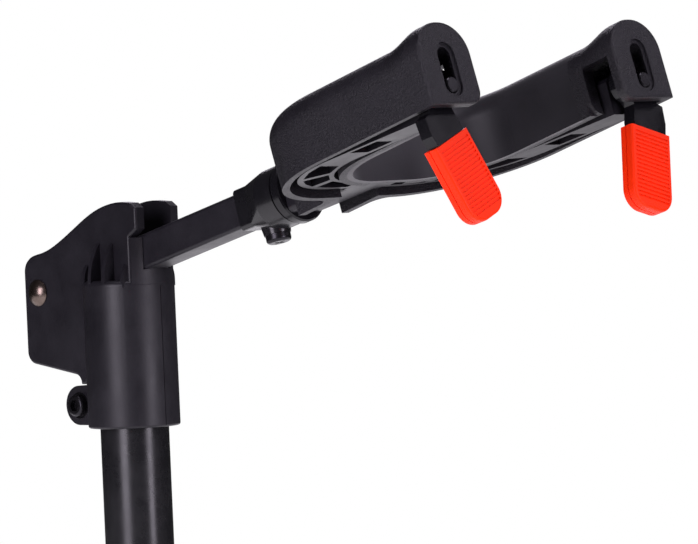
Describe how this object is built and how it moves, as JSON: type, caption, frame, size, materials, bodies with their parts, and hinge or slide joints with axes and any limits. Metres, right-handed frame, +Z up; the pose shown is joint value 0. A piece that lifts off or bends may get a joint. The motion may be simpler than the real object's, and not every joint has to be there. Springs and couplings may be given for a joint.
{
  "type": "guitar rack head",
  "caption": "Folding head of a guitar rack: a bracket clamped on a round mast, a hinged square arm and a sprung neck yoke whose gates close under the instrument's weight.",
  "frame": {"origin": "centre of the mast tube's lower end", "axes": "+Z up along the mast, +X forward along the arm as seen from above, +Y across to the right gate"},
  "size_m": [0.2349, 0.1062, 0.2417],
  "materials": {
    "tube_black": "satin",
    "nylon_black": "moulded, fine texture",
    "nylon_gloss": "gloss",
    "arm_black": "powder coat",
    "lining": "smooth satin",
    "tab_red": "satin",
    "screw_black": "black oxide, oiled",
    "zinc_steel": "satin",
    "spring_steel": "plain"
  },
  "bodies": {
    "mast": {"mast_tube": "tube_black", "mast_plug": "nylon_black", "head_bracket": "nylon_black", "clamp_screw": "screw_black", "clamp_washer": "screw_black", "clamp_nut": "zinc_steel", "pivot_rivet": "zinc_steel"},
    "arm": {"arm_tube": "arm_black", "arm_end_plug": "nylon_black", "pivot_bush": "nylon_gloss", "arm_collar": "nylon_gloss", "collar_pin": "spring_steel", "stop_screw": "screw_black"},
    "yoke": {"yoke_stem": "zinc_steel", "swivel_washer": "nylon_gloss", "yoke_frame": "nylon_black", "hinge_pin": "zinc_steel", "gate_pin_left": "zinc_steel", "gate_pin_right": "zinc_steel", "return_spring": "spring_steel"},
    "cradle": {"cradle_shell": "nylon_black", "neck_lining": "lining"},
    "gate_left": {"gate_lever_left": "nylon_gloss", "gate_tab_left": "tab_red"},
    "gate_right": {"gate_lever_right": "nylon_gloss", "gate_tab_right": "tab_red"}
  },
  "joints": [
    {"name": "arm_fold", "type": "hinge", "parent": "mast", "child": "arm", "pos_m": [-0.033, 0, 0.164], "axis": [0, -1, 0], "range_deg": [0, 240]},
    {"name": "yoke_swivel", "type": "hinge", "parent": "arm", "child": "yoke", "pos_m": [-0.033, 0, 0.164], "axis": [0.9659, 0, 0.2588], "range_deg": [-40, 40]},
    {"name": "cradle_drop", "type": "hinge", "parent": "yoke", "child": "cradle", "pos_m": [0.09275, 0, 0.1977], "axis": [0, 1, 0], "range_deg": [0, 5.35], "stiffness_Nm_per_rad": 3, "springref_deg": -1.72, "deforming": ["return_spring"]},
    {"name": "gate_left_swing", "type": "hinge", "parent": "yoke", "child": "gate_left", "pos_m": [0.18738, -0.0424, 0.22347], "axis": [0.9659, 0, 0.2588], "range_deg": [0, 62.1]},
    {"name": "gate_right_swing", "type": "hinge", "parent": "yoke", "child": "gate_right", "pos_m": [0.18738, 0.0424, 0.22347], "axis": [-0.9659, 0, -0.2588], "range_deg": [0, 62.1]}
  ],
  "couplings": [
    {"joint": "gate_left_swing", "follows": "cradle_drop", "ratio": 11.6},
    {"joint": "gate_right_swing", "follows": "cradle_drop", "ratio": 11.6}
  ]
}
